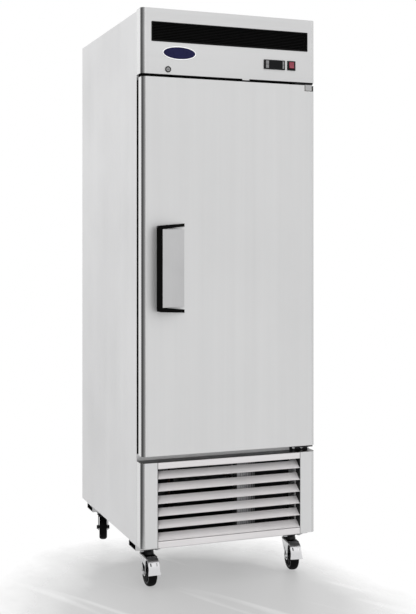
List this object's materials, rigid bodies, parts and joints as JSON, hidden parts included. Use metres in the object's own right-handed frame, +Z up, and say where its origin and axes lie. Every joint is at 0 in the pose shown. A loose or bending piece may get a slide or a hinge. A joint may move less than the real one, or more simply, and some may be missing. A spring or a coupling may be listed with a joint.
{
  "type": "reach in refrigerator",
  "caption": "Upright one-door commercial reach-in refrigerator in stainless steel, with a louvred base grille, header controls, wedge pull handle, wire shelves and swivel casters.",
  "frame": {"origin": "middle of the bounding box's underside, on the floor under the casters", "axes": "+Z up, -Y towards the front where the door is, +X towards the hinge side"},
  "size_m": [0.686, 0.842, 2.069],
  "materials": {
    "side_panel_left": "satin",
    "side_panel_right": "satin",
    "top_panel": "satin",
    "back_panel": "satin",
    "cabinet_insulation": "matte",
    "interior_liner": "satin",
    "front_frame": "satin",
    "breaker_strips": "satin",
    "bay_ceiling_sill": "satin",
    "base_pan": "satin",
    "cross_channels": "satin",
    "base_corner_posts": "satin",
    "front_grille": "satin",
    "header_panel": "satin",
    "header_vent_grille": "satin",
    "badge_plate": "gloss",
    "controller_housing": "satin",
    "controller_display": "gloss",
    "light_switch_body": "satin",
    "light_switch_rocker": "gloss",
    "lock_body": "polished",
    "lock_cylinder": "satin",
    "door_outer_pan": "satin",
    "door_insulation": "matte",
    "door_inner_panel": "satin",
    "door_gasket": "satin",
    "door_hinge_blocks": "satin",
    "hinge_brackets": "satin",
    "handle_frame": "satin",
    "handle_face_plate": "satin",
    "caster_plates": "satin",
    "fasteners": "satin",
    "evaporator_cover": "satin",
    "evaporator_coil": "satin",
    "evaporator_fan": "satin",
    "fan_motors": "satin",
    "interior_light": "satin",
    "shelf_supports": "satin",
    "compressor": "satin",
    "condenser": "satin",
    "condenser_fan": "satin",
    "refrigerant_pipes": "satin",
    "electrical_box": "satin",
    "controller_key_set": "satin",
    "controller_key_defrost": "satin",
    "controller_key_up": "satin",
    "controller_key_down": "satin",
    "shelf_bottom": "satin",
    "shelf_middle": "satin",
    "shelf_top": "satin",
    "caster_fork_fl": "satin",
    "caster_wheel_fl": "satin",
    "caster_fork_fr": "satin",
    "caster_wheel_fr": "satin",
    "caster_fork_rl": "satin",
    "caster_wheel_rl": "satin",
    "caster_fork_rr": "satin",
    "caster_wheel_rr": "satin",
    "caster_brake_fl": "satin",
    "caster_brake_fr": "satin"
  },
  "bodies": {
    "cabinet": {"side_panel_left": "side_panel_left", "side_panel_right": "side_panel_right", "top_panel": "top_panel", "back_panel": "back_panel", "cabinet_insulation": "cabinet_insulation", "interior_liner": "interior_liner", "front_frame": "front_frame", "breaker_strips": "breaker_strips", "bay_ceiling_sill": "bay_ceiling_sill", "base_pan": "base_pan", "cross_channels": "cross_channels", "base_corner_posts": "base_corner_posts", "header_panel": "header_panel", "header_vent_grille": "header_vent_grille", "badge_plate": "badge_plate", "controller_housing": "controller_housing", "controller_display": "controller_display", "light_switch_body": "light_switch_body", "lock_body": "lock_body", "hinge_brackets": "hinge_brackets", "caster_plates": "caster_plates", "fasteners": "fasteners", "evaporator_cover": "evaporator_cover", "evaporator_coil": "evaporator_coil", "fan_motors": "fan_motors", "interior_light": "interior_light", "shelf_supports": "shelf_supports", "compressor": "compressor", "condenser": "condenser", "refrigerant_pipes": "refrigerant_pipes", "electrical_box": "electrical_box"},
    "door": {"door_outer_pan": "door_outer_pan", "door_insulation": "door_insulation", "door_inner_panel": "door_inner_panel", "door_gasket": "door_gasket", "door_hinge_blocks": "door_hinge_blocks", "handle_frame": "handle_frame", "handle_face_plate": "handle_face_plate"},
    "lock_cam": {"lock_cylinder": "lock_cylinder"},
    "light_rocker": {"light_switch_rocker": "light_switch_rocker"},
    "evaporator_fan_rotor": {"evaporator_fan": "evaporator_fan"},
    "condenser_fan_rotor": {"condenser_fan": "condenser_fan"},
    "lower_grille": {"front_grille": "front_grille"},
    "key_set": {"controller_key_set": "controller_key_set"},
    "key_defrost": {"controller_key_defrost": "controller_key_defrost"},
    "key_up": {"controller_key_up": "controller_key_up"},
    "key_down": {"controller_key_down": "controller_key_down"},
    "shelf_bottom_body": {"shelf_bottom": "shelf_bottom"},
    "shelf_middle_body": {"shelf_middle": "shelf_middle"},
    "shelf_top_body": {"shelf_top": "shelf_top"},
    "caster_fl": {"caster_fork_fl": "caster_fork_fl"},
    "wheel_fl": {"caster_wheel_fl": "caster_wheel_fl"},
    "brake_fl": {"caster_brake_fl": "caster_brake_fl"},
    "caster_fr": {"caster_fork_fr": "caster_fork_fr"},
    "wheel_fr": {"caster_wheel_fr": "caster_wheel_fr"},
    "brake_fr": {"caster_brake_fr": "caster_brake_fr"},
    "caster_rl": {"caster_fork_rl": "caster_fork_rl"},
    "wheel_rl": {"caster_wheel_rl": "caster_wheel_rl"},
    "caster_rr": {"caster_fork_rr": "caster_fork_rr"},
    "wheel_rr": {"caster_wheel_rr": "caster_wheel_rr"}
  },
  "joints": [
    {"name": "door_hinge", "type": "hinge", "parent": "cabinet", "child": "door", "pos_m": [0.322, -0.361, 1.153], "axis": [0, 0, 1], "range_deg": [0, 120]},
    {"name": "lock_turn", "type": "hinge", "parent": "cabinet", "child": "lock_cam", "pos_m": [-0.2425, -0.356, 1.854], "axis": [0, 1, 0], "range_deg": [0, 90]},
    {"name": "light_switch_tip", "type": "hinge", "parent": "cabinet", "child": "light_rocker", "pos_m": [0.2435, -0.377, 1.8945], "axis": [1, 0, 0], "range_deg": [0, 12]},
    {"name": "evaporator_fan_spin", "type": "hinge", "parent": "cabinet", "child": "evaporator_fan_rotor", "pos_m": [0, -0.036, 1.925], "axis": [0, -1, 0], "continuous": true},
    {"name": "condenser_fan_spin", "type": "hinge", "parent": "cabinet", "child": "condenser_fan_rotor", "pos_m": [0.16, -0.254, 0.305], "axis": [0, 1, 0], "continuous": true},
    {"name": "grille_pull", "type": "slide", "parent": "cabinet", "child": "lower_grille", "axis": [0, -1, 0], "range_m": [0, 0.045]},
    {"name": "key_set_press", "type": "slide", "parent": "cabinet", "child": "key_set", "axis": [0, 1, 0], "range_m": [0, 0.0008], "stiffness_N_per_m": 400},
    {"name": "key_defrost_press", "type": "slide", "parent": "cabinet", "child": "key_defrost", "axis": [0, 1, 0], "range_m": [0, 0.0008], "stiffness_N_per_m": 400},
    {"name": "key_up_press", "type": "slide", "parent": "cabinet", "child": "key_up", "axis": [0, 1, 0], "range_m": [0, 0.0008], "stiffness_N_per_m": 400},
    {"name": "key_down_press", "type": "slide", "parent": "cabinet", "child": "key_down", "axis": [0, 1, 0], "range_m": [0, 0.0008], "stiffness_N_per_m": 400},
    {"name": "shelf_bottom_lift", "type": "slide", "parent": "cabinet", "child": "shelf_bottom_body", "axis": [0, 0, 1], "range_m": [0, 0.04]},
    {"name": "shelf_middle_lift", "type": "slide", "parent": "cabinet", "child": "shelf_middle_body", "axis": [0, 0, 1], "range_m": [0, 0.04]},
    {"name": "shelf_top_lift", "type": "slide", "parent": "cabinet", "child": "shelf_top_body", "axis": [0, 0, 1], "range_m": [0, 0.04]},
    {"name": "caster_fl_swivel", "type": "hinge", "parent": "cabinet", "child": "caster_fl", "pos_m": [-0.286, -0.275, 0.115], "axis": [0, 0, 1], "continuous": true},
    {"name": "wheel_fl_spin", "type": "hinge", "parent": "caster_fl", "child": "wheel_fl", "pos_m": [-0.28652, -0.305, 0.05], "axis": [0.9998, -0.0175, 0], "continuous": true},
    {"name": "brake_fl_press", "type": "hinge", "parent": "caster_fl", "child": "brake_fl", "pos_m": [-0.28682, -0.32199, 0.105], "axis": [0.9998, -0.0175, 0], "range_deg": [0, 6]},
    {"name": "caster_fr_swivel", "type": "hinge", "parent": "cabinet", "child": "caster_fr", "pos_m": [0.286, -0.275, 0.115], "axis": [0, 0, 1], "continuous": true},
    {"name": "wheel_fr_spin", "type": "hinge", "parent": "caster_fr", "child": "wheel_fr", "pos_m": [0.28182, -0.30471, 0.05], "axis": [0.9903, -0.1392, 0], "continuous": true},
    {"name": "brake_fr_press", "type": "hinge", "parent": "caster_fr", "child": "brake_fr", "pos_m": [0.27946, -0.32154, 0.105], "axis": [0.9903, -0.1392, 0], "range_deg": [0, 6]},
    {"name": "caster_rl_swivel", "type": "hinge", "parent": "cabinet", "child": "caster_rl", "pos_m": [-0.286, 0.299, 0.115], "axis": [0, 0, 1], "continuous": true},
    {"name": "wheel_rl_spin", "type": "hinge", "parent": "caster_rl", "child": "wheel_rl", "pos_m": [-0.27773, 0.32784, 0.05], "axis": [-0.9613, 0.2756, 0], "continuous": true},
    {"name": "caster_rr_swivel", "type": "hinge", "parent": "cabinet", "child": "caster_rr", "pos_m": [0.286, 0.299, 0.115], "axis": [0, 0, 1], "continuous": true},
    {"name": "wheel_rr_spin", "type": "hinge", "parent": "caster_rr", "child": "wheel_rr", "pos_m": [0.29224, 0.32834, 0.05], "axis": [-0.9781, 0.2079, 0], "continuous": true}
  ]
}
